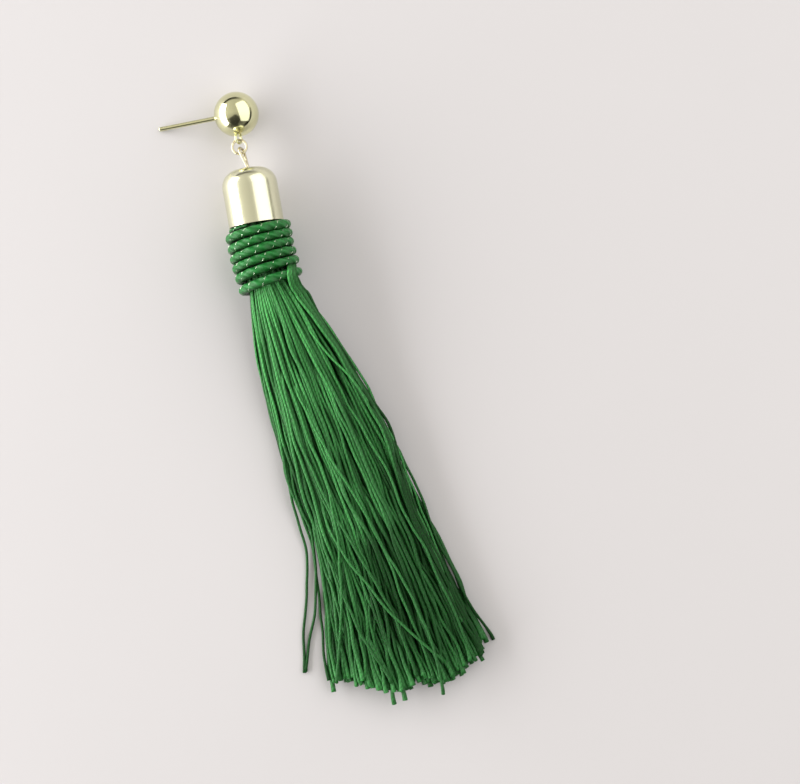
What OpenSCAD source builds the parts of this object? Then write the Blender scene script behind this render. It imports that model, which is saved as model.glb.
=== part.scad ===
// Tassel earring lying on a flat surface: a ball stud, a jump ring and an eye pin carry
// a bell cap, and the thread tassel comes out of the cap through a wound cord.
// +Y runs along the cap's axis towards the ball, +Z is up and the surface is z = 0.

/* [Ball stud] */
// Diameter of the ball
ball_d = 8; // [6.5:0.5:9]
// Diameter of the ear post
post_d = 0.8; // [0.7:0.05:1]
// Length of the ear post beyond the ball
post_len = 11; // [9:0.5:12]
// Inner diameter of the loop soldered to the ball
loop_id = 1.3; // [1:0.05:1.5]
// Wire of that loop
loop_wire = 0.45; // [0.35:0.05:0.55]
// Turn of the loop about its own reach, in degrees from upright
loop_turn = 30; // [0:5:40]
// Sideways lean of the stud against the cap's axis, in degrees
stud_lean = 4; // [0:1:8]

/* [Jump ring] */
// Inner diameter of the jump ring
ring_id = 2; // [1.9:0.1:2.8]
// Wire of the jump ring
ring_wire = 0.5; // [0.4:0.05:0.55]
// Downward tilt of the ring towards the ball, in degrees
ring_dip = 6; // [0:1:10]
// Side of the ring on which the eye lies, in degrees from its middle
ring_lean = 15; // [0:1:20]
// How far the ring stays back from the end of the eye
ring_slack = 0.5; // [0.1:0.05:0.6]

/* [Eye pin] */
// Wire of the pin's eye
pin_wire = 0.5; // [0.4:0.05:0.55]
// Stem of the pin, where it passes the cap
stem_d = 0.75; // [0.7:0.05:0.8]
// Inner width of the eye
eye_id = 1; // [0.9:0.05:1.1]
// Reach of the eye above the cap
eye_len = 4.4; // [3.8:0.1:5]
// Ball head that holds the pin inside the cap
pin_head_d = 2; // [1.9:0.05:2.2]
// How far the stem stands to the right in the cap's hole
pin_side = 0.25; // [0:0.05:0.25]
// Sideways lean of the pin, in degrees
pin_lean = 11; // [0:1:12]
// Downward dip of the pin towards the ball, in degrees
pin_dip = 14; // [8:1:16]
// Turn of the eye about its own length, in degrees from upright
eye_turn = 26; // [0:1:30]

/* [Bell cap] */
// Outside diameter of the cap
cap_d = 9.8; // [9.4:0.1:11]
// Height of the cap
cap_len = 10; // [9:0.5:13]
// Wall of the cap
cap_wall = 0.4; // [0.3:0.05:0.45]
// Radius of the rounded crown
cap_corner = 3; // [2:0.25:3.5]
// Diameter of the hole in the crown
cap_hole = 1.7; // [1.6:0.05:1.8]

/* [Wound cord] */
// Diameter of the cord
cord_d = 1.6; // [1.2:0.1:2.2]
// Space from one turn to the next beyond the cord's diameter
turn_gap = 0.12; // [0.06:0.02:0.4]
// Where the cord starts under the rim, in turns from the right side over the top
first_turn = 0.3; // [0.25:0.05:0.6]
// Where the cord ends, in turns from the same place
last_turn = 6.85; // [4.85:1:8.85]

/* [Tassel] */
// Diameter of the thread bundle where the cord is wound round it
neck_d = 8.5; // [7:0.1:8.8]
// Sideways bend of the bundle where it leaves the cord, in degrees
neck_bend = 9; // [0:1:12]
// Length of the threads below the cord
tassel_len = 76; // [50:1:95]
// Width of the fan of threads at its end
fan_w = 29.5; // [22:0.5:38]
// Locks in the upper layers of the fan
locks_in_layer = 9; // [7:1:10]
// Part of the thread length that is lost at the fan's corners
corner_trim = 0.08; // [0:0.005:0.1]
// Part of the thread length by which the right corner reaches further than the left
corner_slant = 0.025; // [0:0.005:0.04]

/* [Fits] */
// Clearance between linked wires
link_gap = 0.12; // [0.1:0.01:0.2]
// Clearance between the threads and what is wound or set round them
bundle_gap = 0.1; // [0.05:0.01:0.2]
// Clearance between the cap's rim and the first turn of cord
rim_gap = 0.12; // [0.1:0.01:0.3]

/* [Hidden] */

GOLD = "#e6d193";
CORD_GREEN = "#1f6b35";
THREAD_GREEN = "#1d8038";

ball_r = ball_d / 2;
post_r = post_d / 2;
neck_r = neck_d / 2;
cord_r = cord_d / 2;
head_r = cap_d / 2 - cap_wall - bundle_gap;

// The bundle's axis stands as high as the wound cord is thick round it
axis_z = neck_r + bundle_gap + cord_d;

// Winding: turns are counted from the right side over the top to the left, away from the cap
pitch = cord_d + turn_gap;
turn_steps = 24;
cord_sides = 8;
thin_end = 1 / 3;
taper_turns = 0.4;
last_full_turn = last_turn - taper_turns * (1 - thin_end);

// Where the last turn strays from an even winding. Columns: turns before the end, extra advance
// as a share of the pitch
STRAY = [[1.35, 0], [0.85, 0.36], [0.35, 0.1], [0, 0]];

// Radius of the cord t turns from the right side: its start is drawn out to fill the space
// between the rim and the first full turn, and its end tapers
function cord_radius(t) = min(
    cord_r,
    (pitch * t - turn_gap) / 2,
    cord_r * (thin_end + (last_turn - t) / taper_turns)
);
function cord_along(t) =
    let (left = last_turn - t, stray = left > STRAY[0][0] ? 0 : lookup(left, STRAY))
    t < 1 ? rim_gap + cord_radius(t) : rim_gap + cord_r + pitch * (t - 1 + stray);

wrap_end = cord_along(last_full_turn) + cord_r + bundle_gap;

// The free threads, from the cord to the longest one. Columns: along and sideways drift, as shares
// of their length; spread, from the neck's radius (0) to half the fan's width (1); crown, as a
// share of the neck's diameter; sag, from held by the cord (0) to lying on the surface (1)
ALONG = 0;
DRIFT = 1;
SPREAD = 2;
CROWN = 3;
SAG = 4;
SECTIONS = [
    [0.00, 0.000, 0.00, 1.00, 0.00],
    [0.06, 0.010, 0.17, 0.98, 0.12],
    [0.14, 0.026, 0.32, 0.92, 0.50],
    [0.27, 0.053, 0.44, 0.80, 0.93],
    [0.40, 0.078, 0.57, 0.70, 1.00],
    [0.54, 0.101, 0.62, 0.66, 1.00],
    [0.67, 0.123, 0.69, 0.64, 1.00],
    [0.83, 0.145, 0.88, 0.60, 1.00],
    [1.00, 0.169, 1.05, 0.56, 1.00]
];

// Layers of locks. Columns: height in the heap (0 floor, 1 top), outermost place as a share of
// half the fan's width, reach as a share of the threads' length, locks beyond the upper layers' count
HEIGHT = 0;
OUTERMOST = 1;
REACH = 2;
MORE = 3;
LAYERS = [[0.0, 0.93, 0.96, 0], [0.5, 0.97, 0.99, 1], [1.0, 0.84, 0.98, 0]];

// A lock starts inside the cord, has its second ring where the cord ends, and further rings that
// draw apart towards its tip. Its width is a share of its own part of the layer, its thickness
// a share of the neck's diameter
lock_rings = 11;
lock_sides = 8;
lock_root = wrap_end - 1.5 * cord_d;
ring_spread = 1.15;
lock_wide = 1.05 / locks_in_layer;
lock_thick = 0.15 * neck_d;
held_in = 1.5;
edge_place = 0.98;
wander = 0.045;
wander_waves = 300;
reach_jitter = 0.012;
jitter_seed = 11;

// The tip of a lock is rounded off over twice this length, in two steps
tip_len = 0.8;
TIP_STEPS = [0.9, 0.6];

// The heap's core: places across it, its length as a share of the threads', and how deep it lies
// under the surface as a share of a lock's thickness
CORE_PLACES = [-0.93, -0.6, -0.2, 0.2, 0.6, 0.93];
core_share = 0.84;
core_depth = 0.6;

// The bundle inside the cap and the cord, which narrows to a share of its radius inside the heap
head_top = cap_len - cap_wall - pin_head_d - 4 * link_gap;
head_chamfer = 0.6;
neck_sides = 32;
neck_steps = 9;
neck_end = 0.7;
slice = 0.05;

// Value of a column at a share of the way along, on a smooth curve through the rows. The curve
// starts level, and only the drift starts with the bend that the bundle leaves the cord with
function slope(i, column) =
    i == 0 ? (column == DRIFT ? tan(neck_bend) : 0) :
    let (next = min(i + 1, len(SECTIONS) - 1))
    (SECTIONS[next][column] - SECTIONS[i - 1][column]) / (SECTIONS[next][ALONG] - SECTIONS[i - 1][ALONG]);
function row_before(x) =
    max([for (i = [0:len(SECTIONS) - 2]) SECTIONS[i][ALONG] <= x ? i : 0]);
function section(s, column) =
    let (
        x = max(0, s - wrap_end) / tassel_len,
        i = row_before(x),
        width = SECTIONS[i + 1][ALONG] - SECTIONS[i][ALONG],
        t = (x - SECTIONS[i][ALONG]) / width,
        a = SECTIONS[i][column],
        b = SECTIONS[i + 1][column]
    )
    a + (b - a) * (3 * t * t - 2 * t * t * t)
    + width * slope(i, column) * (t * t * t - 2 * t * t + t)
    + width * slope(i + 1, column) * (t * t * t - t * t);

// Centre line of the bundle in plan, at a distance s below the rim, and its heading
function centre_x(s) =
    s <= 0 ? 0 :
    tan(neck_bend) * pow(min(s, wrap_end), 2) / (2 * wrap_end) + tassel_len * section(s, DRIFT);
function heading(s) = atan((centre_x(s + slice) - centre_x(s - slice)) / (2 * slice));
function on_bundle(s, sideways, z) =
    let (turn = heading(s))
    [centre_x(s) + sideways * cos(turn), -s + sideways * sin(turn), z];

// Closed skin through rings that have the same number of points
module skin(rings) {
    sides = len(rings[0]);
    last = len(rings) - 1;
    polyhedron(
        points = [for (ring = rings) each ring],
        faces = concat(
            [[for (i = [0:sides - 1]) i]],
            [
                for (j = [0:last - 1], i = [0:sides - 1])
                let (k = (i + 1) % sides, a = j * sides, b = a + sides)
                each [[a + i, b + i, b + k], [a + i, b + k, a + k]]
            ],
            [[for (i = [sides - 1:-1:0]) last * sides + i]]
        )
    );
}

// Wire ring of a given inner diameter, lying flat round the origin
module wire_ring(inner_d, wire) {
    rotate_extrude($fn = 64) translate([(inner_d + wire) / 2, 0]) circle(d = wire, $fn = 32);
}

// Round bar from one point to another in the XY plane
module bar(from, to, d) {
    run = to - from;
    translate([from[0], from[1], 0])
        rotate([0, 0, atan2(run[1], run[0])])
            rotate([0, 90, 0]) cylinder(d = d, h = norm(run), $fn = 32);
}

// The chain of links from the cap to the ball, worked out from what each one holds. A way is the
// direction towards the ball after a lean to the left and a dip
function way(lean, dip) = [-sin(lean) * cos(dip), cos(lean) * cos(dip), -sin(dip)];
pin_foot = [pin_side, cap_len - cap_wall / 2, axis_z];
pin_way = way(pin_lean, pin_dip);
ring_r = (ring_id + ring_wire) / 2;
ring_near = pin_foot + pin_way * (eye_len + cap_wall / 2 - pin_wire - ring_slack - ring_wire / 2);
ring_centre = ring_near + ring_r * way(ring_lean, ring_dip);
ring_far = ring_centre + ring_r * way(-stud_lean, ring_dip);
loop_sink = 0.1;
loop_reach = ball_r + loop_id / 2 - loop_sink;
stud_hold = loop_reach + loop_id / 2 - link_gap - ring_wire / 2;
stud_dip = asin((ring_far[2] - ball_r) / stud_hold);
ball_centre = ring_far + stud_hold * way(-stud_lean, stud_dip);
post_reach = ball_r + post_len - post_r;
post_roll = asin((ball_r - post_r) / (post_reach * cos(stud_dip)));
post_tip_x = ball_centre[0] - post_reach * cos(post_roll) * cos(stud_lean)
    - post_reach * sin(post_roll) * sin(stud_dip) * sin(stud_lean) - post_r;

module ball_stud() {
    color(GOLD)
    translate(ball_centre)
    rotate([0, 0, -stud_lean])
    rotate([-stud_dip, 0, 0]) {
        sphere(ball_r, $fn = 96);
        rotate([0, -post_roll, 0]) {
            rotate([0, -90, 0]) cylinder(r = post_r, h = post_reach, $fn = 32);
            translate([-post_reach, 0, 0]) sphere(post_r, $fn = 32);
        }
        translate([0, -loop_reach, 0]) rotate([0, 90 - loop_turn, 0]) wire_ring(loop_id, loop_wire);
    }
}

module jump_ring() {
    color(GOLD)
    translate(ring_centre)
    rotate([-ring_dip, 0, 0]) wire_ring(ring_id, ring_wire);
}

// A wire eye drawn out to a narrow loop, whose stem runs through the cap to a ball head
module eye_pin() {
    eye_r = (eye_id + pin_wire) / 2;
    eye_y = eye_len + cap_wall / 2 - pin_wire / 2 - eye_r;
    merge_x = (stem_d - pin_wire) / 2;
    head_y = -(cap_wall / 2 + pin_head_d / 2 + link_gap) / pin_way[1];
    color(GOLD)
    translate(pin_foot)
    rotate([0, 0, pin_lean])
    rotate([-pin_dip, 0, 0])
    rotate([0, 90 - eye_turn, 0]) {
        translate([0, eye_y, 0])
            rotate_extrude(angle = 180, $fn = 64) translate([eye_r, 0]) circle(d = pin_wire, $fn = 32);
        for (side = [-1, 1]) bar([side * merge_x, cap_wall], [side * eye_r, eye_y], pin_wire);
        bar([0, head_y], [0, 2 * cap_wall], stem_d);
        translate([0, head_y, 0]) sphere(d = pin_head_d, $fn = 48);
    }
}

module cap_section(r, h, corner) {
    square([r - corner, h]);
    square([r, h - corner]);
    translate([r - corner, h - corner]) intersection() {
        circle(corner, $fn = 96);
        square(corner);
    }
}

module bell_cap() {
    color(GOLD)
    translate([0, 0, axis_z])
    rotate([-90, 0, 0])
    rotate_extrude($fn = 128) difference() {
        cap_section(cap_d / 2, cap_len, cap_corner);
        cap_section(cap_d / 2 - cap_wall, cap_len - cap_wall, cap_corner - cap_wall);
        translate([0, cap_len - 2 * cap_wall]) square([cap_hole / 2, 3 * cap_wall]);
    }
}

// Ring of points round the cord's own line
function cord_ring(t) =
    let (
        r = cord_radius(t) / cos(180 / cord_sides),
        out = neck_r + bundle_gap + cord_radius(t),
        around = 360 * t
    )
    [
        for (i = [0:cord_sides - 1])
        let (
            a = 360 * (i + 0.5) / cord_sides,
            reach = out + r * cos(a)
        )
        on_bundle(cord_along(t) - r * sin(a), reach * cos(around), axis_z + reach * sin(around))
    ];

module cord_wrap() {
    steps = round((last_turn - first_turn) * turn_steps);
    color(CORD_GREEN)
    skin([for (j = [0:steps]) cord_ring(first_turn + (last_turn - first_turn) * j / steps)]);
}

// Size and place of the fan at a distance s below the rim
function half_width(s) = neck_r + (fan_w / 2 - neck_r) * section(s, SPREAD);
function crown(s) = neck_d * section(s, CROWN);
edge_crown = 0.45;
function place_z(s, across, height, r) =
    let (
        arch = sqrt(1 - across * across),
        sag = min(1, section(s, SAG)),
        held = axis_z + (neck_r - held_in * r) * (2 * height - 1) * arch,
        lying = r + height * (crown(s) * (edge_crown + (1 - edge_crown) * arch) - 2 * r)
    )
    held + (lying - held) * sag;

// One ring of a lock of threads that lies at a place across the fan and a height in its heap
function lock_ring(s, across, height, wide, thick) =
    let (
        w = half_width(s),
        place = across * (w - w * wide),
        z = place_z(s, across, height, thick)
    )
    [
        for (i = [0:lock_sides - 1])
        let (a = 360 * (i + 0.5) / lock_sides)
        on_bundle(s, place + w * wide * cos(a), z + thick * sin(a) / cos(180 / lock_sides))
    ];

// Rings of lock k of a layer: it wanders a little sideways and ends in a blunt brush. The jitter is
// one number for its reach and one for its wander
function lock_rings_of(layer, k, jitter) =
    let (
        spot = LAYERS[layer][OUTERMOST] * (2 * k / (count_in(layer) - 1) - 1),
        trim = corner_trim * spot * spot - corner_slant * spot / 2,
        reach = tassel_len * (LAYERS[layer][REACH] - trim + reach_jitter * jitter[0])
    )
    [
        for (j = [0:lock_rings])
        let (
            f = max(0, j - 1) / (lock_rings - 1),
            s = j == 0 ? lock_root : wrap_end + reach * pow(f, ring_spread),
            off = wander * f * sin(wander_waves * f + 180 * jitter[1]),
            across = max(-edge_place, min(edge_place, spot + off))
        )
        lock_ring(s, across, LAYERS[layer][HEIGHT], lock_wide, lock_thick)
    ];
function count_in(layer) = locks_in_layer + LAYERS[layer][MORE];
all_locks = [
    for (layer = [0:len(LAYERS) - 1], k = [0:count_in(layer) - 1])
    lock_rings_of(layer, k, rands(-1, 1, 2, jitter_seed + count_in(layer) * layer + k))
];

// The bundle inside the cap and the cord
function neck_ring(s, r) = [
    for (i = [0:neck_sides - 1])
    let (a = 360 * (i + 0.5) / neck_sides)
    on_bundle(s, r * cos(a), axis_z + r * sin(a))
];
module neck() {
    skin([
        neck_ring(-head_top, head_r - head_chamfer),
        neck_ring(-head_top + head_chamfer, head_r),
        neck_ring(-rim_gap, head_r),
        for (j = [0:neck_steps]) neck_ring(wrap_end * j / neck_steps, neck_r),
        neck_ring(wrap_end + cord_d, neck_end * neck_r)
    ]);
}

// The threads inside the heap, between the layers of locks
module core() {
    s_tip = wrap_end + core_share * tassel_len;
    skin([
        for (j = [0:lock_rings])
        let (
            s = lock_root + (s_tip - lock_root) * j / lock_rings,
            w = half_width(s) * (1 - lock_wide),
            depth = core_depth * lock_thick
        )
        concat(
            [for (p = CORE_PLACES) on_bundle(s, -p * w, place_z(s, -p, 1, depth))],
            [for (p = CORE_PLACES) on_bundle(s, p * w, place_z(s, p, 0, depth))]
        )
    ]);
}

// A lock of threads, whose end is rounded off like a brush
module lock(rings) {
    skin(rings);
    hull() skin(lock_tip(rings));
}
function lock_tip(rings) =
    let (
        last = rings[lock_rings],
        middle = middle_of(last),
        way_out = middle - middle_of(rings[lock_rings - 1]),
        out = tip_len * way_out / norm(way_out)
    )
    [
        for (j = [0:1])
        [for (p = last) middle + TIP_STEPS[j] * (p - middle) + (2 * j - 1) * out]
    ];
function middle_of(points) = [for (p = points) 1] * points / len(points);

module tassel() {
    color(THREAD_GREEN)
    union() {
        neck();
        core();
        for (rings = all_locks) lock(rings);
    }
}

// The whole is set with the middle of its box over the origin
lock_points = [for (rings = all_locks, ring = concat(rings, lock_tip(rings))) each ring];
low_x = min(post_tip_x, min([for (p = lock_points) p[0]]));
high_x = max([for (p = lock_points) p[0]]);
low_y = min([for (p = lock_points) p[1]]);
high_y = ball_centre[1] + ball_r;

translate([-(low_x + high_x) / 2, -(low_y + high_y) / 2, 0]) {
    ball_stud();
    jump_ring();
    eye_pin();
    bell_cap();
    cord_wrap();
    tassel();
}
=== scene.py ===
"""A tassel earring lying on a pale surface, seen from straight above.

The metal pieces keep their solids and get their plating. The wound cord and the tassel are
modelled again as a satin cord with a metallic thread and as single twisted threads.
"""

import math

import bpy
import numpy as np
from bpy.props import FloatProperty, IntProperty, PointerProperty, StringProperty
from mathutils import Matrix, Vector
from mathutils.bvhtree import BVHTree


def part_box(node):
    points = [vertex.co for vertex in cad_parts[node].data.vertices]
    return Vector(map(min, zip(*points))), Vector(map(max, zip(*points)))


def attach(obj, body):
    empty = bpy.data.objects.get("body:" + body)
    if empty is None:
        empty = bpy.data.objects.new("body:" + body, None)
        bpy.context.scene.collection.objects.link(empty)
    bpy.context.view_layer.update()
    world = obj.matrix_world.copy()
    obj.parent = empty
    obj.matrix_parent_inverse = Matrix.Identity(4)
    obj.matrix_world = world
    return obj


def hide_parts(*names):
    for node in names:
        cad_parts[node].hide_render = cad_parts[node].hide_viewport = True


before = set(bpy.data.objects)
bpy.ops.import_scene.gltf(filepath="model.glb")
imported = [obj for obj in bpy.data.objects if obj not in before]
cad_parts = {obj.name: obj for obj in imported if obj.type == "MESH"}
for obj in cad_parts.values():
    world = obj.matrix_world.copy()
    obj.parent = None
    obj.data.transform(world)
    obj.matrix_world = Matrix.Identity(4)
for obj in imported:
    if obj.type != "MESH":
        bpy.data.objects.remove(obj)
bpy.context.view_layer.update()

bl_info = {
    "name": "Tassel Earring",
    "version": (1, 0, 0),
    "blender": (4, 5, 0),
    "location": "View3D > Sidebar > Earring",
    "description": "Gives a tassel earring its plating, its wound cord and its threads",
    "category": "Object",
}

MM = 0.001
ROOT = "root"
# The metal nodes and the plating that each one gets
METAL_NODES = {"ball_stud": "ball", "jump_ring": "link", "eye_pin": "link", "bell_cap": "cap"}
# The cap's rim, from which the cord and the threads are measured, and the bundle's axis
CAP_LOW, CAP_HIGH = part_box("bell_cap")
RIM_Y = CAP_LOW.y
AXIS_X = (CAP_LOW.x + CAP_HIGH.x) / 2
AXIS_Z = (CAP_LOW.z + CAP_HIGH.z) / 2


class StudioSettings(bpy.types.PropertyGroup):
    """The floor, the light and the camera."""

    floor_colour: StringProperty(name="Floor", description="Colour of the floor, sRGB", default="#d1ced0")
    camera_height: FloatProperty(
        name="Camera height", description="Above the floor", default=321.2 * MM, unit="LENGTH"
    )
    camera_turn: FloatProperty(
        name="Turn", description="Of the picture", default=math.radians(-10), subtype="ANGLE"
    )
    lens: FloatProperty(name="Lens", description="Focal length", default=80.0, unit="CAMERA")


class MetalSettings(bpy.types.PropertyGroup):
    """The plating of the metal pieces."""

    cap_plating: StringProperty(name="Cap plating", description="Pale gold, sRGB", default="#e5e4c6")
    ball_plating: StringProperty(name="Ball plating", description="Gold, sRGB", default="#dddcb2")
    link_plating: StringProperty(name="Link plating", description="Ring and pin, sRGB", default="#cfc6aa")
    ball_roughness: FloatProperty(
        name="Ball roughness", description="Of the ball", default=0.11, subtype="FACTOR"
    )
    cap_roughness: FloatProperty(
        name="Cap roughness", description="Of cap, ring and pin", default=0.21, subtype="FACTOR"
    )


class CordSettings(bpy.types.PropertyGroup):
    """The cord that is wound round the threads."""

    diameter: FloatProperty(name="Diameter", description="Of the cord", default=1.6 * MM, unit="LENGTH")
    turn_gap: FloatProperty(name="Turn gap", description="Between turns", default=0.12 * MM, unit="LENGTH")
    first_turn: FloatProperty(name="First turn", description="Where the cord starts, in turns", default=0.3)
    last_turn: FloatProperty(name="Last turn", description="Where the cord ends, in turns", default=6.85)
    colour: StringProperty(name="Cord", description="Colour of the cord, sRGB", default="#1c662b")
    # Painted shade: the cord's colour in the valleys between its turns and in its folds
    shade_colour: StringProperty(name="Folds", description="Colour in its folds, sRGB", default="#034009")
    glint_pitch: FloatProperty(
        name="Metallic pitch", description="One turn of the metallic thread", default=2.87 * MM,
        unit="LENGTH",
    )
    glint_colour: StringProperty(name="Metallic thread", description="Its colour, sRGB", default="#c9dcc0")


class ThreadSettings(bpy.types.PropertyGroup):
    """The threads of the tassel."""

    locks: IntProperty(name="Locks", description="Number of locks that the threads gather in", default=76)
    threads_in_lock: IntProperty(name="In a lock", description="Number of threads in each lock", default=3)
    diameter: FloatProperty(name="Diameter", description="Of a thread", default=0.56 * MM, unit="LENGTH")
    twist_pitch: FloatProperty(
        name="Twist", description="Length of one turn of the two plies", default=2.2 * MM, unit="LENGTH"
    )
    # Painted light and painted shade: the threads' lit colour near the cord, and their colour in the shade
    # between the locks
    lit_colour: StringProperty(name="Light", description="Colour near the cord, sRGB", default="#5abb64")
    shade_colour: StringProperty(name="Deep", description="Colour between the locks, sRGB", default="#053f0b")
    ragged: FloatProperty(
        name="Ragged", description="How unevenly the threads are cut", default=1.1 * MM, unit="LENGTH"
    )
    seed: IntProperty(name="Seed", description="Seed of the threads' wander", default=7)


def linear(hex_colour):
    """Linear colour with alpha from an sRGB hex value."""
    parts = [int(hex_colour[i:i + 2], 16) / 255 for i in (1, 3, 5)]
    return [c / 12.92 if c <= 0.04045 else ((c + 0.055) / 1.055) ** 2.4 for c in parts] + [1.0]


def scaled(colour, share):
    """A linear colour made lighter or darker by a share."""
    return [c * share for c in colour[:3]] + [1.0]


def unit(value):
    """A value or an array kept from 0 to 1."""
    return np.clip(value, 0, 1)


def spans(start, end, at_start, at_end):
    """Inputs of a range: where it starts and ends, and what it gives at either."""
    return {"From Min": start, "From Max": end, "To Min": at_start, "To Max": at_end}


def add(tree, kind, inputs=None, out=0, **settings):
    """Adds a shader node with its settings, links or sets its inputs, and gives its output."""
    made = tree.nodes.new("ShaderNode" + kind)
    for name, value in settings.items():
        setattr(made, name, value)
    for name, value in (inputs or {}).items():
        if isinstance(value, bpy.types.NodeSocket):
            tree.links.new(value, made.inputs[name])
        else:
            made.inputs[name].default_value = value
    return made.outputs[out] if made.outputs else None


def new_material(name):
    """A new material and its empty node tree."""
    material = bpy.data.materials.new(name)
    material.use_nodes = True
    material.node_tree.nodes.clear()
    return material, material.node_tree


def shaded(material, inputs):
    """The material with a principled shader that has these inputs."""
    shader = add(material.node_tree, "BsdfPrincipled", inputs)
    add(material.node_tree, "OutputMaterial", {"Surface": shader})
    return material


def plated_brass(name, colour, roughness):
    """Brass with thin pale gold plating, tumbled and buffed: bright mirror-like bands whose edges
    are a little soft, with a faint unevenness of the polish."""
    material, tree = new_material(name)
    place = add(tree, "TexCoord", out="Object")
    # Polishing leaves soft patches 2 mm across, and fine marks 0.15 mm apart
    patches = add(tree, "TexNoise", {"Vector": place, "Scale": 1 / (2 * MM), "Detail": 2.0})
    marks = add(tree, "TexNoise", {"Vector": place, "Scale": 1 / (0.15 * MM), "Detail": 3.0})
    spread = {"Value": patches, "To Min": roughness * 0.8, "To Max": roughness * 1.25}
    return shaded(material, {
        "Base Color": linear(colour),
        "Metallic": 1.0,
        "Roughness": add(tree, "MapRange", spread),
        "Normal": add(tree, "Bump", {"Height": marks, "Strength": 0.012, "Distance": 0.05 * MM}),
    })


# A diagonal wave texture of scale 1 turns by this angle in one unit, here a millimetre
WAVE_RATE = 10


def slanted_fibres(tree, surface, pitch_mm, fineness):
    """Fine fibres that run round a thread or cord once in pitch_mm and lie 0.63 mm divided by the
    fineness apart. Real ones are finer and wouldn't show."""
    wound = add(tree, "Mapping", {"Vector": surface, "Scale": (pitch_mm, 1.0, 1.0)})
    look = {"Vector": wound, "Scale": fineness, "Distortion": 2.5, "Detail": 2.0, "Detail Scale": 2.0}
    return add(tree, "TexWave", look, "Fac", bands_direction="DIAGONAL")


def satin_cord(name, colour, shade_colour):
    """Satin rayon cord: a bright soft highlight along each turn, partly gloss and partly painted light,
    painted shade in deep green beside it, and fine fibres that run slantwise."""
    material, tree = new_material(name)
    surface = add(tree, "TexCoord", out="UV")
    tone = add(tree, "Attribute", out="Fac", attribute_name="tone")
    fibres = slanted_fibres(tree, surface, 7.0, 2.2)
    # Three strands lie round the cord, with a fold every 1.8 mm
    strands = add(tree, "Mapping", {"Vector": surface, "Scale": (1.9, 0.35, 1.0)})
    look = {"Vector": strands, "Scale": 1.0, "Distortion": 1.5, "Detail": 1.0}
    folds = add(tree, "TexWave", look, "Fac", bands_direction="DIAGONAL")
    # The satin is blotchy, in patches about 0.6 mm long
    blotches = add(tree, "TexNoise", {"Vector": surface, "Scale": 1.6, "Detail": 3.0})
    patchy = add(tree, "MapRange", {"Value": blotches, "To Min": 0.35, "To Max": 1.4})
    # Painted shade in the folds between the strands
    creased = add(tree, "MapRange", {"Value": folds, "To Min": 0.65, "To Max": 1.15})
    uneven = add(tree, "Math", {0: patchy, 1: creased}, operation="MULTIPLY")
    share = add(tree, "Math", {0: tone, 1: uneven}, operation="MULTIPLY")
    # Painted light and painted shade: the tone mixes the shade colour with a lit copy of the cord's colour,
    # 1.6 times as light
    colours = {0: share, 6: linear(shade_colour), 7: scaled(linear(colour), 1.6)}
    twist = add(tree, "Bump", {"Height": folds, "Strength": 0.9, "Distance": 0.25 * MM})
    relief = {"Height": fibres, "Strength": 0.3, "Distance": 0.06 * MM, "Normal": twist}
    return shaded(material, {
        "Base Color": add(tree, "Mix", colours, 2, data_type="RGBA"),
        "Roughness": 0.42,
        "Specular IOR Level": 0.35,
        "Sheen Weight": 0.02,
        "Sheen Roughness": 0.35,
        "Normal": add(tree, "Bump", relief),
    })


def metallic_thread(name, colour):
    """Thin metallised film thread: dark where it mirrors the cord, with small bright glints where it
    comes to the surface."""
    material, tree = new_material(name)
    surface = add(tree, "TexCoord", out="UV")
    # The film is creased in facets about 0.2 mm long
    facets = add(tree, "TexNoise", {"Vector": surface, "Scale": 5.0, "Detail": 1.0})
    return shaded(material, {
        "Base Color": linear(colour),
        "Metallic": 1.0,
        "Roughness": 0.16,
        "Normal": add(tree, "Bump", {"Height": facets, "Strength": 0.6, "Distance": 0.03 * MM}),
    })


def silky_thread(name, lit_colour, shade_colour, twist):
    """Two-ply rayon thread: silky highlights that break up along the twist, and a tone of its own for each
    thread, mixed from a painted lit colour near the cord down to a painted shade colour, the deep green
    between the locks."""
    material, tree = new_material(name)
    surface = add(tree, "TexCoord", out="UV")
    tone = add(tree, "Attribute", out="Fac", attribute_name="tone")
    fibres = slanted_fibres(tree, surface, 3.0, 2.6)
    # Two plies wound round each other: two ridges, which run once round in the twist's length
    ridge = 4 * math.pi / WAVE_RATE
    wound = add(tree, "Mapping", {"Vector": surface, "Scale": (ridge, ridge / (twist / MM), 1.0)})
    look = {"Vector": wound, "Scale": 1.0, "Distortion": 1.2}
    plies = add(tree, "TexWave", look, "Fac", bands_direction="DIAGONAL")
    # Painted shade in the grooves between the plies
    groove = add(tree, "MapRange", {"Value": plies, **spans(0.0, 0.6, 0.72, 1.0)})
    grooved = add(tree, "Math", {0: tone, 1: groove}, operation="MULTIPLY")
    depth = add(tree, "Math", {0: grooved, 1: 1.5}, operation="POWER")
    # Painted light and painted shade: the tone mixes the shade colour between the locks with the lit colour
    # near the cord
    colours = {0: depth, 6: linear(shade_colour), 7: linear(lit_colour)}
    ridges = add(tree, "Bump", {"Height": plies, "Strength": 0.5, "Distance": 0.07 * MM})
    relief = {"Height": fibres, "Strength": 0.3, "Distance": 0.03 * MM, "Normal": ridges}
    return shaded(material, {
        "Base Color": add(tree, "Mix", colours, 2, data_type="RGBA"),
        # Fibres are laid open towards the ends, which dulls the gloss
        "Roughness": add(tree, "MapRange", {"Value": tone, **spans(0.0, 0.8, 0.62, 0.37)}),
        "Specular IOR Level": 0.28,
        "Subsurface Weight": 0.4,
        "Subsurface Radius": (0.3, 1.0, 0.35),
        "Subsurface Scale": 0.4 * MM,
        "Sheen Weight": 0.02,
        "Sheen Roughness": 0.3,
        "Normal": add(tree, "Bump", relief),
    })


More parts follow.
